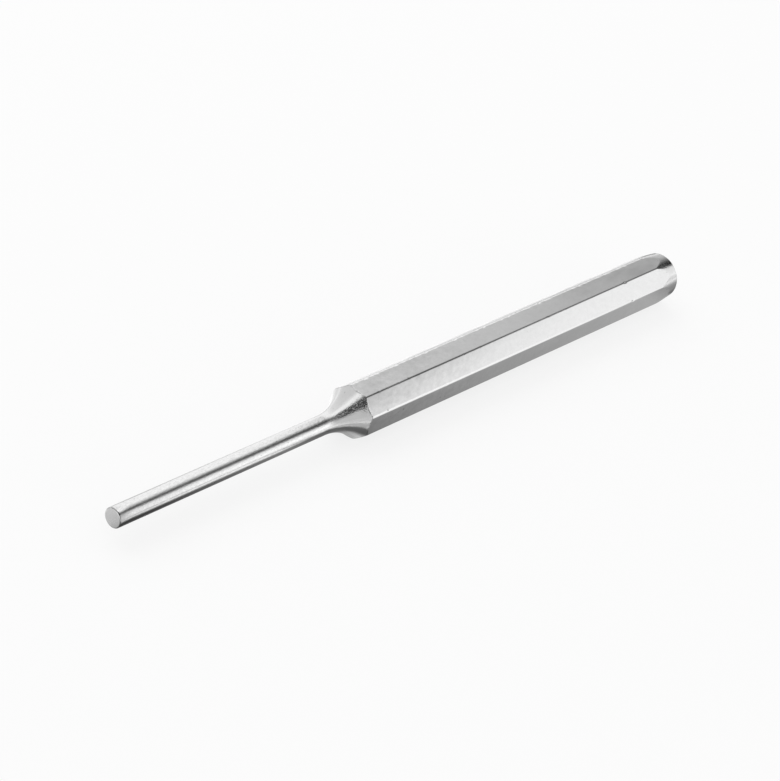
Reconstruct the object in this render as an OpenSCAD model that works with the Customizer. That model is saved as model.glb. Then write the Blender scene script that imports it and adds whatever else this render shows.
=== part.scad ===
// Pin punch: a drift with a straight round pin, turned from one length of octagonal steel bar.
// The axis is +X. The origin is the centre of the flat working face at the tip, and +Z is up
// with the bar lying on one of its flats. All sizes are in millimetres.

/* [Pin] */
// Diameter of the straight pin that enters the hole
pin_d = 3.9; // [1.9:0.1:7.9]
// Length of the straight pin, from the working face to where the neck starts to swell
pin_len = 53; // [20:0.5:80]
// Width of the broken edge round the working face
tip_break = 0.2; // [0.05:0.05:0.5]

/* [Neck] */
// Radius of the hollow curve that runs from the pin into the neck
neck_r = 12; // [8:0.5:24]
// Length along the axis of the hollow curve, where a straight cone takes over
neck_curve_len = 7.2; // [4:0.1:7.8]

/* [Bar] */
// Number of flats round the bar
bar_flats = 8; // [6, 8]
// Width of the bar across two opposite flats
bar_af = 10; // [9.5:0.5:16]
// Width of the break along each corner of the bar
corner_land = 0.4; // [0.1:0.1:1.2]
// Length of the whole punch, from the working face to the top of the crown
overall_len = 160; // [130:1:260]

/* [Head] */
// Length of the turned taper that leads to the struck end
head_taper_len = 6.2; // [3:0.1:14]
// Diameter of the taper where it would meet the struck end with no chamfer
head_end_d = 9.4; // [7:0.1:9.8]
// Length along the axis of the chamfer round the struck end
head_chamfer = 0.4; // [0.1:0.1:1]
// Spherical radius of the slightly crowned struck end
crown_r = 30; // [15:1:80]

/* [Hidden] */
$fn = 96;

// Half the angle from one flat of the bar to the next
half_step = 180 / bar_flats;

// Reach of the bar from its axis: to a flat, to a sharp corner and to a broken one
flat_reach = bar_af / 2;
sharp_reach = flat_reach / cos(half_step);
land_start = flat_reach * tan(half_step) - corner_land / (2 * cos(half_step));
corner_reach = norm([flat_reach, land_start]);

// The neck rises from the pin to the bar's corners, first on the hollow curve, then on a cone
// that leaves the curve at its slope. A curve that reaches the corners by itself has no cone
pin_radius = pin_d / 2;
neck_slope = asin(neck_curve_len / neck_r);
neck_rise = corner_reach - pin_radius;
curve_rise = min(neck_rise, neck_r * (1 - cos(neck_slope)));
curve_len = sqrt(curve_rise * (2 * neck_r - curve_rise));
cone_len = (neck_rise - curve_rise) / tan(neck_slope);
neck_len = curve_len + cone_len;

// The head tapers from the bar's corners to the struck end, which a large sphere crowns
head_end_radius = head_end_d / 2;
crown_height = crown_r - sqrt(crown_r * crown_r - head_end_radius * head_end_radius);
head_len = head_taper_len + crown_height;

// The chamfer leaves the taper at half a right angle. The head's outline is drawn on past the
// crown, so that the sphere alone shapes the struck end
chamfer_start = head_taper_len - head_chamfer;
taper_fall = corner_reach - head_end_radius;
chamfer_radius = corner_reach - taper_fall * chamfer_start / head_taper_len;
crown_overrun = head_chamfer;
outline_len = head_len + crown_overrun;
chamfer_run = outline_len - chamfer_start;

// Places along the axis where one stretch ends and the next begins
neck_x = pin_len;
body_x = neck_x + neck_len;
head_x = overall_len - head_len;
body_len = head_x - body_x;

// Stands a shape made along +Z on the axis at a place, pointing to the struck end
module along_axis(x) {
    translate([x, 0, 0])
        rotate([0, 90, 0])
            children();
}

// Straight length of the bar's flats, with sharp corners and one flat facing down
module flats(len) {
    rotate(half_step)
        cylinder(h = len, r = sharp_reach, $fn = bar_flats);
}

// Straight round pin with a broken edge at the working face
module pin_shank() {
    color("gainsboro")
        along_axis(0) {
            cylinder(h = tip_break, r1 = pin_radius - tip_break, r2 = pin_radius);
            translate([0, 0, tip_break])
                cylinder(h = pin_len - tip_break, r = pin_radius);
        }
}

// Turned swelling between the pin and the bar: a hollow curve, then a cone
module neck_turning() {
    rotate_extrude()
        difference() {
            square([pin_radius + curve_rise, curve_len]);
            translate([pin_radius + neck_r, 0])
                circle(r = neck_r);
        }
    if (cone_len > 0)
        translate([0, 0, curve_len])
            cylinder(h = cone_len, r1 = pin_radius + curve_rise, r2 = corner_reach);
}

// Neck: the turned swelling, with the bar's flats running out into it as scallops
module neck() {
    color("silver")
        along_axis(neck_x)
            intersection() {
                neck_turning();
                flats(neck_len);
            }
}

// Straight octagonal bar that the hand holds, with its corners broken
module octagonal_body() {
    color("lightgray")
        along_axis(body_x)
            intersection() {
                flats(body_len);
                cylinder(h = body_len, r = corner_reach);
            }
}

// Turned end of the bar: a long taper, a small chamfer and a crown
module head_turning() {
    rotate_extrude()
        intersection() {
            polygon([
                [0, 0],
                [corner_reach, 0],
                [chamfer_radius, chamfer_start],
                [chamfer_radius - chamfer_run, outline_len],
                [0, outline_len]
            ]);
            translate([0, head_len - crown_r])
                circle(r = crown_r);
        }
}

// Striking head: the turned end, with the bar's flats running out into its taper
module striking_head() {
    color("silver")
        along_axis(head_x)
            intersection() {
                head_turning();
                flats(outline_len);
            }
}

pin_shank();
neck();
octagonal_body();
striking_head();
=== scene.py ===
from math import asin, atan2, cos, pi, radians, sin, sqrt, tan

import bpy
import numpy as np
from mathutils import Matrix, Vector, noise


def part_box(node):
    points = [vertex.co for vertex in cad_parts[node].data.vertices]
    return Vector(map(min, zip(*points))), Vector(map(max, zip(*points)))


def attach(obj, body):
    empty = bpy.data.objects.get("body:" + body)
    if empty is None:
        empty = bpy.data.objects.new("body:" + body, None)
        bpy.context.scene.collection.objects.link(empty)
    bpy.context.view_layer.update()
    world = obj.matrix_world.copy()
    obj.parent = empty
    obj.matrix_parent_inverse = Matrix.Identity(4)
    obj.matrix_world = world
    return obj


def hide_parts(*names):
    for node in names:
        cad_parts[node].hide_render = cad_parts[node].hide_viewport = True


# The pin punch of the frame, dressed in plated steel. Lengths are in metres, like the frame's, and
# the punch's axis is +X. An angle round the axis is counted from straight up towards the camera's
# side, which is -Y
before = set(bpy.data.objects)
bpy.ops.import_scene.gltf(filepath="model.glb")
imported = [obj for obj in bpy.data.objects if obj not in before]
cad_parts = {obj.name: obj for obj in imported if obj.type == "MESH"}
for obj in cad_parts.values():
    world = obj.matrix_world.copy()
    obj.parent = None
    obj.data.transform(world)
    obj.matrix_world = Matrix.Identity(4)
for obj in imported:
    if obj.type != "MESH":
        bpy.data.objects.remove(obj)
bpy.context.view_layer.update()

MM = 0.001

# Where the stretches of the punch begin and end, from the frame
PIN_LOW, PIN_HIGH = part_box("pin_shank")
BODY_LOW, BODY_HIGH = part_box("octagonal_body")
HEAD_LOW, HEAD_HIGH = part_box("striking_head")
TIP_X = PIN_LOW.x
NECK_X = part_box("neck")[0].x
BODY_X = BODY_LOW.x
HEAD_X = HEAD_LOW.x
END_X = HEAD_HIGH.x
PIN_R = PIN_HIGH.z
FLAT_REACH = BODY_HIGH.z
FLOOR_Z = BODY_LOW.z

# Sizes that the frame's boxes don't give
TIP_ROUND = 0.25 * MM
NECK_CURVE_R = 12 * MM
NECK_CURVE_LEN = 7.2 * MM
CORNER_REACH = 5.333 * MM
HEAD_END_R = 4.7 * MM
HEAD_CHAMFER = 0.4 * MM
CROWN_R = 30 * MM

# The bar's outline: flats that polishing has crowned by a degree or so, and round corners
FLATS = 8
STEP = 2 * pi / FLATS
FLAT_TURN = radians(1.2)
CORNER_ROUND = 0.75 * MM

# Small nicks along the bar's corners: how long and deep they are, how rare, and how dark the painted shade
# inside them is.
# Each corner reads a row of its own from the noise that places them
NICK_LENGTH = 0.8 * MM
NICK_DEPTH = 0.07 * MM
NICK_RARITY = 0.36
NICK_SHADE = 0.7
NOISE_ROW_STEP = 7.3

# Two larger nicks that the photograph shows. Corners are counted from straight up
LARGE_NICKS = (
    # Corner, place along the punch, length and depth
    (0, 142.2 * MM, 0.8 * MM, 0.13 * MM),
    (1, 142.8 * MM, 0.8 * MM, 0.10 * MM),
)

# The corner on the far side of the top flat is battered all along, and bright there. The wear
# reaches a little way out on to the top flat
BATTERED_CORNER = 7
BATTERED_RARITY = -0.05
BATTERED_LENGTH = 1.1 * MM
BATTERED_DEPTH = 0.20 * MM
BATTERED_REACH = 0.45 * MM

# The scallops' edges: how softly the turned surface and the flats blend, and how wide and dark the painted
# shade line along them is
NECK_BLEND = 0.03 * MM
HEAD_BLEND = 0.02 * MM
LINE_HALF = 0.21 * MM
NECK_LINE_SHADE = 0.85
HEAD_LINE_SHADE = 0.25

# How bright hammering has left the rounded edge of the working face, and how dark the painted shade on it
# is
RIM_WEAR = 0.4
RIM_SHADE = 0.5

# The grain: its strength where it is fine, the patch of the neck where it is coarse, and where the
# bar's flats turn from uneven and pitted near the neck to smooth
FINE_GRAIN = 0.25
NECK_PATCH_ANGLE = radians(31)
NECK_PATCH_WIDTH = radians(10)
NECK_PATCH_START = 3 * MM
UNEVEN_TO = 80 * MM
SMOOTH_FROM = 100 * MM
SMOOTH_GRAIN = 0.38

# Fineness of the meshes. With a crowding over 1 the flats' points draw together at the corners
FLAT_POINTS = 9
CROWDING = 1.4
ROUND_POINTS = 6
RIM_RINGS = 7
PIN_RING_STEP = 2.5 * MM
BODY_RING_STEP = 0.25 * MM
TURNED_RING_STEP = 0.06 * MM
CROWN_RINGS = 24

# A face belongs to an end of the punch when its normal has at least this much of the axis
END_FACING = 0.9


# Shapes

def corner_sector():
    """Outline of the bar from the middle of one flat to the corner, as (angle, reach) pairs."""
    half = STEP / 2
    flat_r = ((tan(half) * (FLAT_REACH - CORNER_ROUND * (cos(FLAT_TURN) - cos(half)))
               - CORNER_ROUND * (sin(half) - sin(FLAT_TURN)))
              / (sin(FLAT_TURN) + tan(half) * (1 - cos(FLAT_TURN))))
    points = []
    for i in range(FLAT_POINTS + 1):
        turn = FLAT_TURN * (1 - (1 - i / FLAT_POINTS) ** CROWDING)
        points.append((flat_r * sin(turn), FLAT_REACH - flat_r * (1 - cos(turn))))
    side, reach = points[-1]
    for i in range(1, ROUND_POINTS + 1):
        turn = FLAT_TURN + (half - FLAT_TURN) * i / ROUND_POINTS
        points.append((side + CORNER_ROUND * (sin(turn) - sin(FLAT_TURN)),
                       reach - CORNER_ROUND * (cos(FLAT_TURN) - cos(turn))))
    return [(atan2(s, r), sqrt(s * s + r * r)) for s, r in points]


def bar_outline():
    """Angles round the whole bar, and the bar's reach at each."""
    sector = corner_sector()
    mirrored = [(-a, r) for a, r in reversed(sector[1:])]
    one_flat = mirrored + sector[:-1]
    angles, reaches = [], []
    for k in range(FLATS):
        for a, r in one_flat:
            angles.append(k * STEP + a)
            reaches.append(r)
    return np.array(angles), np.array(reaches)


ANGLES, BAR_REACH = bar_outline()


def corner_share(start):
    """1 at the middle of the bar's corners, falling to 0 at the angle start from a flat's middle."""
    past = np.abs((ANGLES + STEP / 2) % STEP - STEP / 2)
    return np.clip((past - start) / (STEP / 2 - start), 0, 1)


CORNER_INDEX = np.floor(ANGLES / STEP).astype(int) % FLATS
CORNER_SHARE = corner_share(corner_sector()[FLAT_POINTS][0])

# Angles under 0 are on the battered corner's side of the top flat, where the wear is wider
WIDER_SHARE = corner_share(STEP / 2 - BATTERED_REACH / FLAT_REACH)
BATTERED_SHARE = np.where(ANGLES < 0, WIDER_SHARE, CORNER_SHARE) * (CORNER_INDEX == BATTERED_CORNER)


def past_rarity(x, length, corner, rarity):
    """How far the noise along a corner rises past a rarity at a station, from 0 to 1."""
    chance = noise.noise(Vector((x / length, NOISE_ROW_STEP * corner, 0)))
    return min(max((chance - rarity) / (1 - rarity), 0), 1)


def nicks(x):
    """How deep the nicks in the corners are at a station, at each angle."""
    depths = np.array([NICK_DEPTH * past_rarity(x, NICK_LENGTH, k, NICK_RARITY) for k in range(FLATS)])
    for k, place, length, depth in LARGE_NICKS:
        off = (x - place) / (length / 2)
        depths[k] = max(depths[k], depth * max(1 - off * off, 0))
    battered = BATTERED_DEPTH * past_rarity(x, BATTERED_LENGTH, BATTERED_CORNER, BATTERED_RARITY)
    return np.maximum(depths[CORNER_INDEX] * CORNER_SHARE, battered * BATTERED_SHARE)


def pin_profile():
    """Stations and radii along the pin, with the rounded edge of the working face."""
    turns = np.linspace(0, pi / 2, RIM_RINGS)
    edge = [(TIP_X + TIP_ROUND * (1 - sin(t)), PIN_R - TIP_ROUND * (1 - cos(t))) for t in turns[::-1]]
    rings = int((NECK_X - TIP_X) / PIN_RING_STEP)
    shank = [(x, PIN_R) for x in np.linspace(TIP_X + TIP_ROUND, NECK_X, rings)[1:]]
    return edge + shank


def neck_profile():
    """Stations and radii of the turned neck: the hollow curve, then the cone to the corners."""
    slope = asin(NECK_CURVE_LEN / NECK_CURVE_R)
    curve_rise = NECK_CURVE_R * (1 - cos(slope))
    rings = int((BODY_X - NECK_X) / TURNED_RING_STEP)
    points = []
    for x in np.linspace(NECK_X, BODY_X, rings):
        run = x - NECK_X
        if run < NECK_CURVE_LEN:
            radius = PIN_R + NECK_CURVE_R - sqrt(NECK_CURVE_R ** 2 - run ** 2)
        else:
            radius = PIN_R + curve_rise + (run - NECK_CURVE_LEN) * tan(slope)
        points.append((x, radius))
    return points


def crown_x(radius):
    """Place along the punch of the crowned struck end at a distance from the axis."""
    return END_X - CROWN_R + sqrt(CROWN_R ** 2 - radius ** 2)


def head_profile():
    """Stations and radii of the turned head: the taper, the chamfer and the crown."""
    chamfer_start = crown_x(HEAD_END_R) - HEAD_CHAMFER
    fall = (CORNER_REACH - HEAD_END_R) / (crown_x(HEAD_END_R) - HEAD_X)
    rings = int((chamfer_start - HEAD_X) / TURNED_RING_STEP)
    points = [(x, CORNER_REACH - (x - HEAD_X) * fall) for x in np.linspace(HEAD_X, chamfer_start, rings)]
    radius = points[-1][1]
    run = 0
    while chamfer_start + run < crown_x(radius - run):
        run += TURNED_RING_STEP / 2
        points.append((min(chamfer_start + run, crown_x(radius - run)), radius - run))
    for r in np.linspace(points[-1][1], 0, CROWN_RINGS)[1:-1]:
        points.append((crown_x(r), r))
    return points


def ease(value, start, end):
    """0 before start and 1 past end, with a soft rise between them."""
    t = np.clip((value - start) / (end - start), 0, 1)
    return t * t * (3 - 2 * t)


def smooth_min(a, b, blend):
    """The smaller of a and b, rounded over where they meet."""
    near = np.clip(0.5 + 0.5 * (b - a) / blend, 0, 1)
    return b * (1 - near) + a * near - blend * near * (1 - near)


def add_point_values(mesh, key, values):
    """Gives a mesh's points values that a material can read."""
    mesh.attributes.new(key, "FLOAT", "POINT").data.foreach_set("value", np.array(values, np.float32))


def piece_from_rings(name, rings, marks, end_x=None):
    """A closed solid through rings of (station, radii at each angle); end_x closes it in a point.

    marks names values from 0 to 1 that the materials read, each with one entry for every ring.
    """
    count = len(ANGLES)
    turn = np.stack([-np.sin(ANGLES), np.cos(ANGLES)], axis=1)
    verts = []
    for x, radii in rings:
        for (y, z), r in zip(turn, np.broadcast_to(radii, count)):
            verts.append((x, y * r, z * r))
    faces = []
    for i in range(len(rings) - 1):
        low, high = i * count, (i + 1) * count
        for j in range(count):
            k = (j + 1) % count
            faces.append((low + j, high + j, high + k, low + k))
    side_faces = len(faces)
    last = (len(rings) - 1) * count
    start_centre = len(verts)
    end_centre = start_centre + 1
    verts.append((rings[0][0], 0, 0))
    verts.append((rings[-1][0] if end_x is None else end_x, 0, 0))
    faces += [(start_centre, j, (j + 1) % count) for j in range(count)]
    faces += [(end_centre, last + (j + 1) % count, last + j) for j in range(count)]
    mesh = bpy.data.meshes.new(name)
    mesh.from_pydata(verts, [], faces)
    pointed = end_x is not None
    smooth = [i < side_faces or (pointed and i >= side_faces + count) for i in range(len(faces))]
    mesh.polygons.foreach_set("use_smooth", smooth)
    rims = {0} if pointed else {0, last}
    for edge in mesh.edges:
        a, b = edge.vertices
        for rim in rims:
            if rim <= a < rim + count and rim <= b < rim + count:
                edge.use_edge_sharp = True
    for key, values in marks.items():
        rows = [np.broadcast_to(v, count) for v in values]
        centres = np.zeros(2)
        add_point_values(mesh, key, np.concatenate([*rows, centres]))
    mesh.update()
    piece = bpy.data.objects.new(name, mesh)
    bpy.context.scene.collection.objects.link(piece)
    return piece


def finish_ends(piece, side_material, end_material):
    """Gives a piece its two materials: one round its side and one on faces square to the axis."""
    piece.data.materials.append(side_material)
    piece.data.materials.append(end_material)
    for face in piece.data.polygons:
        face.material_index = 1 if abs(face.normal.x) > END_FACING else 0


def pin_piece():
    """The pin, worn round the rim of its working face, with painted shade there."""
    profile = pin_profile()
    marks = {
        "edge_wear": [RIM_WEAR if x < TIP_X + TIP_ROUND else 0.0 for x, _ in profile],
        # Painted shade round the rim of the working face
        "painted_shade": [RIM_SHADE if TIP_X < x < TIP_X + TIP_ROUND else 0.0 for x, _ in profile],
        "grain": [1.0] * len(profile),
    }
    return piece_from_rings("pin_shank_finish", profile, marks)


def nick_shade(depths):
    """Painted shade inside the nicks, the deeper the darker, but not on the battered corner."""
    return np.clip(depths / NICK_DEPTH, 0, 1) * NICK_SHADE * (CORNER_INDEX != BATTERED_CORNER)


def scalloped_piece(name, profile, blend, line_shade, grain, end_x=None):
    """A turned profile cut by the bar's flats, with the scallops blended in.

    The fourth argument is how dark the painted shade line along the scallops is, and grain gives the
    strength of the surface's grain at a station.
    """
    slopes = np.gradient([r for _, r in profile], [x for x, _ in profile])
    rings = []
    marks = {"edge_wear": [], "painted_shade": [], "grain": []}
    for (x, r), slope in zip(profile, slopes):
        depths = nicks(x)
        reach = BAR_REACH - depths
        rings.append((x, smooth_min(r, reach, blend)))
        # Painted shade: a dark line along the scallops' edges, and the dark inside the nicks
        line = np.clip(1 - np.abs(r - reach) / (LINE_HALF * min(abs(slope), 1)), 0, 1)
        marks["edge_wear"].append(CORNER_SHARE * (r > BAR_REACH))
        marks["painted_shade"].append(np.maximum(line * line_shade, nick_shade(depths) * (r > BAR_REACH)))
        marks["grain"].append(grain(x))
    return piece_from_rings(name, rings, marks, end_x)


def neck_grain(x):
    """The neck's grain is coarse in a patch on the camera's side of the top, and fine elsewhere."""
    off = (ANGLES - NECK_PATCH_ANGLE + pi) % (2 * pi) - pi
    patch = np.exp(-(off / NECK_PATCH_WIDTH) ** 2)
    return FINE_GRAIN + (1 - FINE_GRAIN) * patch * min(max((x - NECK_X) / NECK_PATCH_START, 0), 1)


def neck_piece():
    """The neck, with its scallops and a patch of coarse grain."""
    return scalloped_piece("neck_finish", neck_profile(), NECK_BLEND, NECK_LINE_SHADE, neck_grain)


def head_grain(x):
    """The head's grain is fine all over."""
    return FINE_GRAIN


def head_piece():
    """The head, with its scallops and the crown of the struck end."""
    profile = head_profile()
    return scalloped_piece("striking_head_finish", profile, HEAD_BLEND, HEAD_LINE_SHADE, head_grain, END_X)


def body_grain(x):
    """The bar's flats are uneven near the neck and smooth towards the head."""
    return 1 - (1 - SMOOTH_GRAIN) * ease(x, UNEVEN_TO, SMOOTH_FROM)


def body_piece():
    """The bar, with the nicks along its corners."""
    stations = np.linspace(BODY_X, HEAD_X, int((HEAD_X - BODY_X) / BODY_RING_STEP))
    depths = [nicks(x) for x in stations]
    marks = {
        "edge_wear": [CORNER_SHARE] * len(stations),
        # Painted shade inside the nicks along the corners
        "painted_shade": [nick_shade(d) for d in depths],
        "grain": [body_grain(x) for x in stations],
    }
    rings = [(x, BAR_REACH - d) for x, d in zip(stations, depths)]
    return piece_from_rings("octagonal_body_finish", rings, marks)


# Materials

# How light the plating is, how far clouds in it go either way, how light wear leaves it, and how dark pits
# and painted shade leave it
PLATE_LEVEL = 0.86
CLOUD_DARKER = 0.02
CLOUD_LIGHTER = 0.01
FACED_DARKER = 0.04
WORN_LEVEL = 0.90
PIT_AND_SHADE_LEVEL = 0.30

# Where the wear on an edge begins and is full
WEAR_FROM = 0.3
WEAR_FULL = 0.9

# A noise breaks the painted shade up: its waves per millimetre, where the shade begins in it and is full,
# how much shade stays elsewhere, and how rough the shaded places are
SHADE_BREAKUP = (2.5, 2.5, 2.5)
SHADE_FROM = 0.38
SHADE_FULL = 0.58
SHADE_LEAST = 0.3
SHADE_ROUGHNESS = 0.4

# The range that most of a noise's values lie in, and its middle
NOISE_LOW = 0.3
NOISE_HIGH = 0.7
NOISE_MIDDLE = 0.5

# Where the bar's grain is no stronger than this its pits are faint, and this dark
FAINT_PITS_GRAIN = 0.5
FAINT_PITS_LEVEL = 0.25

# Each finish's noises, in waves per millimetre along the punch and across it, how deep they are, and
# its roughness where the plating is darkest and lightest. Pits have a spacing in millimetres, the
# shares of it where a pit begins to fade and has gone, and the share of places that have one
GROUND_CLOUD = (0.3, 0.9, 0.9)
GROUND_FLECKS = (1.8, 5, 5)
GROUND_FLECK_LEVEL = 0.075
GROUND_MOTTLE = (1.3, 4, 4)
GROUND_MOTTLE_DEPTH = 0.014 * MM
GROUND_MARKS = (7, 0.4, 0.4)
GROUND_MARK_DEPTH = 0.0015 * MM
GROUND_PITS = (1.2, 0.06, 0.12, 0.3)
GROUND_ROUGHNESS = (0.09, 0.14)

TURNED_CLOUD = (0.25, 0.5, 0.5)
TURNED_FLECKS = (3, 3, 3)
TURNED_FLECK_LEVEL = 0.012
TURNED_GRAIN = (4.6, 4.6, 4.6)
TURNED_GRAIN_DEPTH = 0.068 * MM
TURNED_MARKS = (6, 0.15, 0.15)
TURNED_MARK_DEPTH = 0.0010 * MM
TURNED_PITS = (0.8, 0.08, 0.16, 0.2)
TURNED_ROUGHNESS = (0.12, 0.18)

DRAWN_CLOUD = (0.12, 0.4, 0.4)
DRAWN_BLOTCHES = (0.8, 1.1, 1.1)
DRAWN_BLOTCH_LEVEL = 0.038
DRAWN_WAVES = (0.4, 0.6, 0.6)
DRAWN_WAVE_DEPTH = 0.016 * MM
DRAWN_LINES = (0.25, 6, 6)
DRAWN_LINE_DEPTH = 0.0012 * MM
DRAWN_PITS = (1.6, 0.05, 0.13, 0.30)
DRAWN_ROUGHNESS = (0.12, 0.18)

FACED_CLOUD = (0.5, 0.5, 0.5)
FACED_RINGS_PER_MM = 5
FACED_RING_DEPTH = 0.0015 * MM
FACED_ROUGHNESS = (0.20, 0.28)


class Graph:
    """A node tree, with short calls that add a node and join what feeds it."""

    def __init__(self, tree):
        self.tree = tree

    def node(self, kind, inputs, **settings):
        """A new shader node of a kind, with its inputs fed and its settings made."""
        node = self.tree.nodes.new("ShaderNode" + kind)
        for key, value in settings.items():
            setattr(node, key, value)
        for key, value in inputs.items():
            self.feed(node.inputs[key], value)
        return node

    def feed(self, socket, value):
        """Joins a socket to what feeds it, or gives it a value."""
        if isinstance(value, bpy.types.NodeSocket):
            self.tree.links.new(value, socket)
        else:
            socket.default_value = value

    def place(self, scale):
        """Object coordinates stretched by scale, per millimetre."""
        point = self.node("TexCoord", {}).outputs["Object"]
        feeds = {"Vector": point, "Scale": [s / MM for s in scale]}
        return self.node("Mapping", feeds).outputs["Vector"]

    def noise(self, scale, detail=3, roughness=0.5):
        """Noise that has scale waves per millimetre along each axis."""
        feeds = {"Vector": self.place(scale), "Scale": 1, "Detail": detail, "Roughness": roughness}
        return self.node("TexNoise", feeds).outputs["Fac"]

    def remap(self, value, from_low, from_high, to_low, to_high):
        """A value carried from one range to another, with soft ends."""
        feeds = {
            "Value": value,
            "From Min": from_low,
            "From Max": from_high,
            "To Min": to_low,
            "To Max": to_high,
        }
        return self.node("MapRange", feeds, interpolation_type="SMOOTHSTEP").outputs["Result"]

    def spread(self, value, low, high):
        """A noise's value carried to the range from low to high."""
        return self.remap(value, NOISE_LOW, NOISE_HIGH, low, high)

    def combine(self, operation, a, b):
        """Two values joined by an operation of the math node."""
        return self.node("Math", {0: a, 1: b}, operation=operation).outputs["Value"]

    def point_value(self, key):
        """A value that the mesh's points carry."""
        return self.node("Attribute", {}, attribute_name=key).outputs["Fac"]

    def bump(self, height, depth, under=None):
        """A normal for a height of a depth, laid over another normal if there is one."""
        feeds = {"Height": height, "Strength": 1, "Distance": depth}
        if under is not None:
            feeds["Normal"] = under
        return self.node("Bump", feeds).outputs["Normal"]

    def grey(self, level):
        """A level as a colour."""
        return self.node("CombineColor", {"Red": level, "Green": level, "Blue": level}).outputs["Color"]

    def pits(self, spacing, full, gone, share):
        """1 inside small scattered pits: one in some of the cells that are spacing wide."""
        feeds = {"Vector": self.place((1 / spacing,) * 3), "Scale": 1}
        cells = self.node("TexVoronoi", feeds)
        present = self.node("SeparateColor", {"Color": cells.outputs["Color"]}).outputs["Red"]
        inside = self.remap(cells.outputs["Distance"], full, gone, 1, 0)
        return self.combine("MULTIPLY", inside, self.combine("LESS_THAN", present, share))


def new_material(name):
    """A material of bare metal, with its graph and its shader."""
    material = bpy.data.materials.new(name)
    material.use_nodes = True
    shader = material.node_tree.nodes["Principled BSDF"]
    shader.inputs["Metallic"].default_value = 1.0
    return material, Graph(material.node_tree), shader


def plated(graph, shader, cloud, flecks, fleck_level, pits, normal, roughness):
    """Plating with clouds and flecks, worn bright on edges, dark in pits, and darkened by painted shade
    where the points say.
    """
    wear = graph.remap(graph.point_value("edge_wear"), WEAR_FROM, WEAR_FULL, 0, 1)
    # Painted shade from the points' values, broken up by a noise, darkens the plating and roughens it
    ragged = graph.remap(graph.noise(SHADE_BREAKUP, detail=2), SHADE_FROM, SHADE_FULL, SHADE_LEAST, 1)
    painted_shade = graph.combine("MULTIPLY", graph.point_value("painted_shade"), ragged)
    level = graph.spread(cloud, PLATE_LEVEL - CLOUD_DARKER, PLATE_LEVEL + CLOUD_LIGHTER)
    level = graph.combine("ADD", level, graph.spread(flecks, -fleck_level, fleck_level))
    level = graph.remap(wear, 0, 1, level, WORN_LEVEL)
    level = graph.remap(graph.combine("MAXIMUM", pits, painted_shade), 0, 1, level, PIT_AND_SHADE_LEVEL)
    rough = graph.remap(painted_shade, 0, 1, graph.spread(cloud, *roughness), SHADE_ROUGHNESS)
    graph.feed(shader.inputs["Base Color"], graph.grey(level))
    graph.feed(shader.inputs["Roughness"], rough)
    graph.feed(shader.inputs["Normal"], normal)


def ground_steel():
    """The pin: plated over fine centreless grinding, whose marks run round it."""
    material, graph, shader = new_material("ground_steel_finish")
    cloud = graph.noise(GROUND_CLOUD)
    flecks = graph.noise(GROUND_FLECKS, detail=2, roughness=0.6)
    mottle = graph.bump(graph.noise(GROUND_MOTTLE, detail=2, roughness=0.6), GROUND_MOTTLE_DEPTH)
    marks = graph.bump(graph.noise(GROUND_MARKS), GROUND_MARK_DEPTH, mottle)
    pits = graph.pits(*GROUND_PITS)
    plated(graph, shader, cloud, flecks, GROUND_FLECK_LEVEL, pits, marks, GROUND_ROUGHNESS)
    return material


def turned_steel():
    """The neck and the head: plated over turning marks, with a grain that polishing left."""
    material, graph, shader = new_material("turned_steel_finish")
    cloud = graph.noise(TURNED_CLOUD)
    flecks = graph.noise(TURNED_FLECKS, detail=2, roughness=0.6)
    height = graph.combine("MULTIPLY", graph.noise(TURNED_GRAIN, detail=1), graph.point_value("grain"))
    grain = graph.bump(height, TURNED_GRAIN_DEPTH)
    marks = graph.bump(graph.noise(TURNED_MARKS), TURNED_MARK_DEPTH, grain)
    pits = graph.pits(*TURNED_PITS)
    plated(graph, shader, cloud, flecks, TURNED_FLECK_LEVEL, pits, marks, TURNED_ROUGHNESS)
    return material


def drawn_steel():
    """The bar: plated over drawn flats, a little wavy, with a few pits."""
    material, graph, shader = new_material("drawn_steel_finish")
    cloud = graph.noise(DRAWN_CLOUD)
    grain = graph.point_value("grain")
    blotches = graph.combine("SUBTRACT", graph.noise(DRAWN_BLOTCHES, roughness=0.55), NOISE_MIDDLE)
    blotches = graph.combine("ADD", graph.combine("MULTIPLY", blotches, grain), NOISE_MIDDLE)
    height = graph.combine("MULTIPLY", graph.noise(DRAWN_WAVES, detail=1), grain)
    waves = graph.bump(height, DRAWN_WAVE_DEPTH)
    lines = graph.bump(graph.noise(DRAWN_LINES), DRAWN_LINE_DEPTH, waves)
    near_neck = graph.remap(grain, FAINT_PITS_GRAIN, 1, FAINT_PITS_LEVEL, 1)
    pits = graph.combine("MULTIPLY", graph.pits(*DRAWN_PITS), near_neck)
    plated(graph, shader, cloud, blotches, DRAWN_BLOTCH_LEVEL, pits, lines, DRAWN_ROUGHNESS)
    return material


def faced_steel():
    """The working face and the struck end: the rings of a facing cut under the plating."""
    material, graph, shader = new_material("faced_steel_finish")
    across = graph.place((0, 1, 1))
    radius = graph.node("VectorMath", {0: across}, operation="LENGTH").outputs["Value"]
    feeds = {"W": radius, "Scale": FACED_RINGS_PER_MM, "Detail": 2}
    rings = graph.node("TexNoise", feeds, noise_dimensions="1D").outputs["Fac"]
    cloud = graph.noise(FACED_CLOUD)
    level = graph.spread(cloud, PLATE_LEVEL - FACED_DARKER, PLATE_LEVEL)
    graph.feed(shader.inputs["Base Color"], graph.grey(level))
    graph.feed(shader.inputs["Roughness"], graph.spread(cloud, *FACED_ROUGHNESS))
    graph.feed(shader.inputs["Normal"], graph.bump(rings, FACED_RING_DEPTH))
    return material


# Studio

# How strong the world is as light, and as what is seen
AMBIENT = 0.75
WHITE = 1.0

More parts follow.
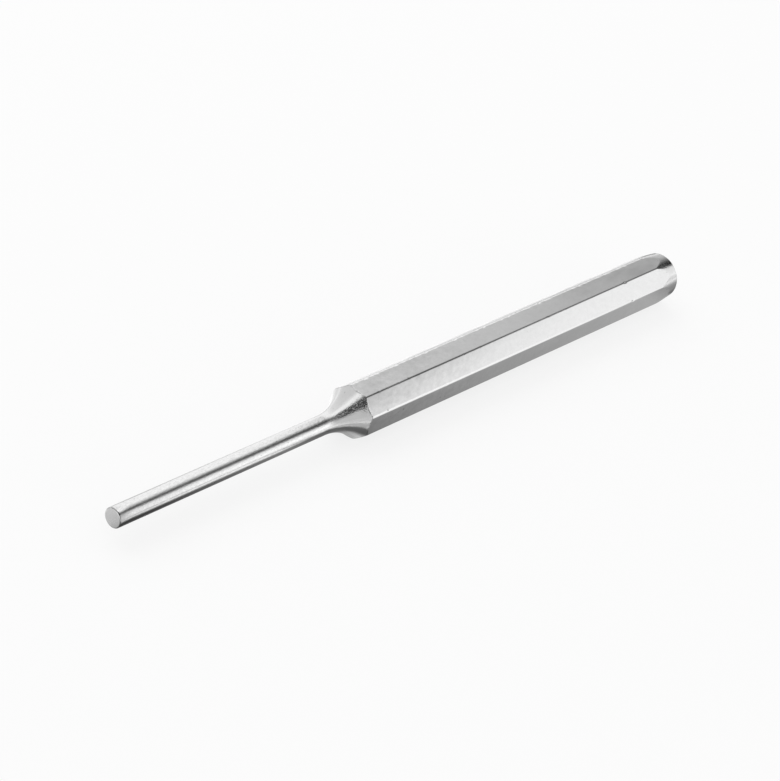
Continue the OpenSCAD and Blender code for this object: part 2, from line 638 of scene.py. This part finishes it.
# The floor: its size, its colour and how far it is lifted towards white where it is seen
FLOOR_HALF = 3.0
FLOOR_LEVEL = 0.95
FLOOR_LIFT = 0.78

# Sheets stand round the punch from a radius out or lie just over the floor, in layers this far apart
SHEET_R = 0.5
SHEET_GAP = 0.01
FLOOR_GAP = 0.01 * MM
SHEET_COLUMNS = 140
SHEET_ROWS = 60

# How far the lamps are from the punch's axis, and how long they are beside it
LAMP_DISTANCE = 0.9
LAMP_LENGTH = 1.2


def seen_rays(graph):
    """1 for rays that show the backdrop, straight or in the metal, and 0 for the others."""
    path = graph.node("LightPath", {})
    shown = graph.combine("MAXIMUM", path.outputs["Is Camera Ray"], path.outputs["Is Glossy Ray"])
    return graph.combine("MAXIMUM", shown, path.outputs["Is Transmission Ray"])


def studio_world():
    """A white world, dimmer as light than where it is seen."""
    world = bpy.data.worlds.new("studio")
    world.use_nodes = True
    graph = Graph(world.node_tree)
    background = world.node_tree.nodes["Background"]
    background.inputs["Color"].default_value = (1, 1, 1, 1)
    graph.feed(background.inputs["Strength"], graph.remap(seen_rays(graph), 0, 1, AMBIENT, WHITE))
    bpy.context.scene.world = world


def studio_floor():
    """A white floor that keeps the punch's shadow, lifted towards white where it is seen."""
    corners = [(x * FLOOR_HALF, y * FLOOR_HALF, FLOOR_Z) for x, y in ((-1, -1), (1, -1), (1, 1), (-1, 1))]
    mesh = bpy.data.meshes.new("studio_floor")
    mesh.from_pydata(corners, [], [(0, 1, 2, 3)])
    floor = bpy.data.objects.new("studio_floor", mesh)
    bpy.context.scene.collection.objects.link(floor)
    material = bpy.data.materials.new("studio_floor")
    material.use_nodes = True
    material.node_tree.nodes.clear()
    graph = Graph(material.node_tree)
    matt = graph.node("BsdfDiffuse", {"Color": (FLOOR_LEVEL, FLOOR_LEVEL, FLOOR_LEVEL, 1)}).outputs["BSDF"]
    white = graph.node("Emission", {"Strength": WHITE}).outputs["Emission"]
    lift = graph.combine("MULTIPLY", seen_rays(graph), FLOOR_LIFT)
    mixed = graph.node("MixShader", {0: lift, 1: matt, 2: white}).outputs["Shader"]
    graph.node("OutputMaterial", {"Surface": mixed})
    mesh.materials.append(material)


def sheet_material():
    """A grey tone that fades into what is behind it, both as the sheet's own points say."""
    material = bpy.data.materials.new("studio_sheet")
    material.use_nodes = True
    material.node_tree.nodes.clear()
    graph = Graph(material.node_tree)
    clear = graph.node("BsdfTransparent", {}).outputs["BSDF"]
    tone = graph.node("Emission", {"Strength": graph.point_value("level")}).outputs["Emission"]
    mixed = graph.node("MixShader", {0: graph.point_value("cover"), 1: clear, 2: tone}).outputs["Shader"]
    graph.node("OutputMaterial", {"Surface": mixed})
    return material


def only_reflected(obj):
    """The metal shows it, and nothing else does."""
    obj.visible_camera = False
    obj.visible_diffuse = False
    obj.visible_shadow = False
    obj.visible_volume_scatter = False


def sheet(name, place, material, fade_in, fade_out, stations):
    """A sheet that the metal reflects, laid along the punch.

    A station is (along, level, low, low_full, high_full, high): across the sheet, its tone starts
    at low, covers fully from low_full to high_full and has gone at high. It fades in over a length
    at its first station and out at its last. place turns a point along and across the sheet into
    coordinates.
    """
    columns = np.array(stations, float).T
    start, end = columns[0, 0], columns[0, -1]
    along = np.linspace(start, end, SHEET_COLUMNS)
    level, low, low_full, high_full, high = (np.interp(along, columns[0], c) for c in columns[1:])
    ends = ease(along, start, start + fade_in) * (1 - ease(along, end - fade_out, end))
    verts, levels, covers = [], [], []
    for i, x in enumerate(along):
        for across in np.linspace(low[i], high[i], SHEET_ROWS):
            edges = ease(across, low[i], low_full[i]) * (1 - ease(across, high_full[i], high[i]))
            verts.append(place(x, across))
            levels.append(level[i])
            covers.append(ends[i] * edges)
    faces = []
    for i in range(SHEET_COLUMNS - 1):
        for j in range(SHEET_ROWS - 1):
            k = i * SHEET_ROWS + j
            faces.append((k, k + SHEET_ROWS, k + SHEET_ROWS + 1, k + 1))
    mesh = bpy.data.meshes.new(name)
    mesh.from_pydata(verts, [], faces)
    add_point_values(mesh, "level", levels)
    add_point_values(mesh, "cover", covers)
    mesh.materials.append(material)
    made = bpy.data.objects.new(name, mesh)
    bpy.context.scene.collection.objects.link(made)
    only_reflected(made)


def round_the_punch(layer):
    """Places a sheet on a cylinder round the punch, across being degrees from straight up."""
    radius = SHEET_R + layer * SHEET_GAP
    return lambda x, degrees: (x, -radius * sin(radians(degrees)), radius * cos(radians(degrees)))


def on_the_floor(layer):
    """Places a sheet just over the floor, across being millimetres towards the camera's side."""
    height = FLOOR_Z + layer * FLOOR_GAP
    return lambda x, across: (x, -across * MM, height)


# The stations of the sheets were chosen by comparing renders with the photograph

def sheets_round_the_punch(tone):
    """The sheets that stand above the floor, which the upper side of the punch reflects."""
    sheet("overhead_gap", round_the_punch(0), tone, 0.1, 0.1, [
        (-0.90, 0.04, -45, -20, 80, 112),
        (-0.30, 0.04, -45, -20, 80, 106),
        (-0.23, 0.04, -6, 14, 31, 56),
        (0.13, 0.04, -2, 18, 36, 64),
        (0.32, 0.14, 4, 30, 28, 75),
        (0.41, 0.10, -28, 25, 26, 59),
        (0.51, 0.11, -20, 24, 24, 61),
        (0.545, 0.02, -16, 12, 36, 68),
        (0.58, 0.03, -20, 14, 32, 64),
        (0.61, 0.03, -22, 16, 26, 61),
        (0.68, 0.04, -30, 16, 4, 50),
        (0.76, 0.04, -30, 4, 4, 36),
        (0.93, 0.02, -72, -5, 7, 28),
        (1.60, 0.02, -72, -5, 7, 28)])
    sheet("far_back_grey", round_the_punch(1), tone, 0.02, 0.1, [
        (0.525, 0.40, -85, -42, 0, 20),
        (0.60, 0.60, -85, -42, 0, 20),
        (0.67, 0.59, -85, -42, 0, 20),
        (0.76, 0.36, -85, -42, 0, 20),
        (0.95, 0.60, -115, -90, 0, 20),
        (1.40, 0.60, -115, -90, 0, 20)])
    sheet("near_front_grey", round_the_punch(2), tone, 0.2, 0.20, [
        (-1.20, 0.52, 45, 55, 100, 105),
        (0.50, 0.60, 45, 55, 100, 105)])
    sheet("near_back_grey", round_the_punch(3), tone, 0.2, 0.16, [
        (-1.20, 0.30, -100, -80, -34, -12),
        (-0.35, 0.30, -100, -80, -34, -12),
        (-0.15, 0.66, -100, -80, -34, -12),
        (0.10, 0.69, -100, -80, -34, -12),
        (0.22, 0.77, -100, -80, -34, -12),
        (0.42, 0.74, -100, -80, -34, -12)])
    # A strip that glows brighter than white and lights nothing, seen only in the metal: a painted
    # highlight
    sheet("front_strip", round_the_punch(4), tone, 0.05, 0.25, [
        (0.44, 1.14, 60, 72, 84, 90),
        (0.85, 1.14, 60, 72, 84, 90)])
    sheet("far_front_grey", round_the_punch(5), tone, 0.15, 0.1, [
        (0.80, 0.60, 66, 88, 100, 105),
        (1.60, 0.60, 66, 88, 100, 105)])
    sheet("head_front_grey", round_the_punch(6), tone, 0.1, 0.1, [
        (0.92, 0.85, 0, 10, 48, 66),
        (1.60, 0.85, 0, 10, 48, 66)])


def sheets_on_the_floor(tone):
    """The sheets over the floor, which the lower side of the metal reflects and nothing else shows: their
    grey and dark tones are painted shade on the floor round the punch, and far_bright is a painted
    highlight. Higher layers hide lower ones.
    """
    sheet("far_tone", on_the_floor(5), tone, 0.006, 0.1, [
        (0.071, 0.22, -45, -35, -18, -14.2),
        (0.080, 0.26, -45, -35, -18, -14.2),
        (0.092, 0.36, -45, -35, -18, -14.2),
        (0.125, 0.40, -45, -35, -18, -14.2),
        (0.145, 0.26, -45, -35, -18, -14.2),
        (0.40, 0.20, -45, -35, -18, -14.2)])
    sheet("far_bright", on_the_floor(12), tone, 0.03, 0.03, [
        (0.035, 1.15, -15, -13.4, -9, -7),
        (0.20, 1.15, -15, -13.4, -9, -7)])
    sheet("far_floor_grey", on_the_floor(5), tone, 0.03, 0.045, [
        (-0.05, 0.60, -95, -80, -17, -9),
        (0.020, 0.60, -95, -80, -17, -9),
        (0.050, 0.62, -95, -80, -34, -12),
        (0.095, 0.80, -95, -80, -34, -12)])
    sheet("far_shade", on_the_floor(8), tone, 0.004, 0.02, [
        (-0.002, 0.32, -11, -8, 1, 4),
        (0.045, 0.32, -11, -8, 1, 4),
        (0.056, 0.32, -11, -8, 2, 5),
        (0.075, 0.32, -11, -8, 2, 5)])
    sheet("tip_far_shade", on_the_floor(5), tone, 0.01, 0.004, [
        (-0.040, 0.25, -80, -60, -15, -11),
        (0.000, 0.25, -80, -60, -15, -11)])
    sheet("near_floor_grey", on_the_floor(5), tone, 0.05, 0.012, [
        (-0.25, 0.50, 5, 15, 150, 200),
        (0.000, 0.50, 6, 18, 150, 200),
        (0.020, 0.50, 14, 30, 150, 200),
        (0.045, 0.58, 19, 38, 150, 200),
        (0.060, 0.61, 23, 42, 150, 200),
        (0.075, 0.61, 28, 46, 150, 200),
        (0.097, 0.61, 28, 46, 150, 200)])
    sheet("neck_floor_grey", on_the_floor(7), tone, 0.005, 0.005, [
        (0.051, 0.44, 11, 14, 22, 28),
        (0.068, 0.50, 11, 14, 22, 28)])
    sheet("tip_shade", on_the_floor(10), tone, 0.008, 0.006, [
        (-0.020, 0.63, -9, -7, 3, 5),
        (0.002, 0.63, -9, -7, 3, 5)])
    sheet("front_shade", on_the_floor(15), tone, 0.02, 0.05, [
        (-0.030, 0.05, -5, 4, 6, 20),
        (0.012, 0.05, -5, 4, 6, 20),
        (0.048, 0.20, -5, 4, 5, 13),
        (0.0530, 0.15, -4, 4, 6, 14.5),
        (0.0560, 0.14, -3, 3.5, 7, 15),
        (0.0580, 0.14, -2, 3, 9.5, 16),
        (0.0592, 0.14, 0.5, 4, 8.5, 12),
        (0.0605, 0.07, 4.2, 7.2, 9, 13.5),
        (0.063, 0.14, 2, 6, 8, 15),
        (0.067, 0.23, -2, 4, 10, 20),
        (0.100, 0.33, -2, 4, 10, 20),
        (0.158, 0.44, -2, 4, 10, 22),
        (0.168, 0.26, -2, 4, 7, 44),
        (0.260, 0.30, -2, 4, 7, 44)])
    sheet("head_shade", on_the_floor(17), tone, 0.002, 0.003, [
        (0.1618, 0.15, 2, 3.2, 5.8, 7.8),
        (0.1720, 0.19, 2, 3.2, 5.8, 7.8)])


def stand(right, up, back, place):
    """The matrix that stands a lamp or a camera at a place, looking away from back."""
    return Matrix.Translation(place) @ Matrix((right, up, back)).transposed().to_4x4()


def soft_lamp(name, x, degrees, width, level):
    """A rectangular lamp that faces the punch from an angle round its axis."""
    lamp = bpy.data.lights.new(name, "AREA")
    lamp.shape = "RECTANGLE"
    lamp.size = LAMP_LENGTH
    lamp.size_y = width
    lamp.energy = level * pi * LAMP_LENGTH * width
    holder = bpy.data.objects.new(name, lamp)
    angle = radians(degrees)
    back = Vector((0, -sin(angle), cos(angle)))
    right = Vector((1, 0, 0))
    place = Vector((x, 0, 0)) + back * LAMP_DISTANCE
    holder.matrix_world = stand(right, back.cross(right), back, place)
    holder.visible_glossy = False
    bpy.context.scene.collection.objects.link(holder)


def studio_lamps():
    """Two lamps that only light the floor, since the metal doesn't show them."""
    soft_lamp("back_lamp", x=0.1, degrees=-42, width=0.7, level=0.88)
    soft_lamp("front_lamp", x=0.5, degrees=78, width=0.3, level=0.98)


# Camera

# The lens and the view, as fitted to the punch's edges in the photograph
SENSOR = 36
LENS = 129.5
VIEW_AIM = Vector((73.52, 0.89, 0.00)) * MM
VIEW_DISTANCE = 527.9 * MM
VIEW_AZIMUTH = radians(-58.54)
VIEW_ELEVATION = radians(34.18)
VIEW_ROLL = radians(18.64)
CLIP_NEAR = 0.01
CLIP_FAR = 20


def photo_camera():
    """A camera at the photograph's view."""
    camera = bpy.data.objects.new("camera", bpy.data.cameras.new("camera"))
    camera.data.sensor_width = SENSOR
    camera.data.lens = LENS
    camera.data.clip_start = CLIP_NEAR
    camera.data.clip_end = CLIP_FAR
    back = Vector((
        sin(VIEW_AZIMUTH) * cos(VIEW_ELEVATION),
        -cos(VIEW_AZIMUTH) * cos(VIEW_ELEVATION),
        sin(VIEW_ELEVATION),
    ))
    level_right = Vector((0, 0, 1)).cross(back).normalized()
    right = Matrix.Rotation(VIEW_ROLL, 3, back) @ level_right
    place = VIEW_AIM + back * VIEW_DISTANCE
    camera.matrix_world = stand(right, back.cross(right), back, place)
    bpy.context.scene.collection.objects.link(camera)
    bpy.context.scene.camera = camera


def dress():
    """Replaces each stretch of the frame with its finished piece."""
    ground, turned, drawn, faced = ground_steel(), turned_steel(), drawn_steel(), faced_steel()
    for piece, node, slot, material in (
            (pin_piece(), "pin_shank", "turned_steel", ground),
            (neck_piece(), "neck", "turned_steel", turned),
            (body_piece(), "octagonal_body", "drawn_steel", drawn),
            (head_piece(), "striking_head", "turned_steel", turned)):
        finish_ends(piece, material, faced)
        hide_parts(node)
        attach(piece, "root")


bpy.context.scene.view_settings.view_transform = "Standard"
photo_camera()
studio_world()
studio_floor()
sheet_tone = sheet_material()
sheets_round_the_punch(sheet_tone)
sheets_on_the_floor(sheet_tone)
studio_lamps()
dress()
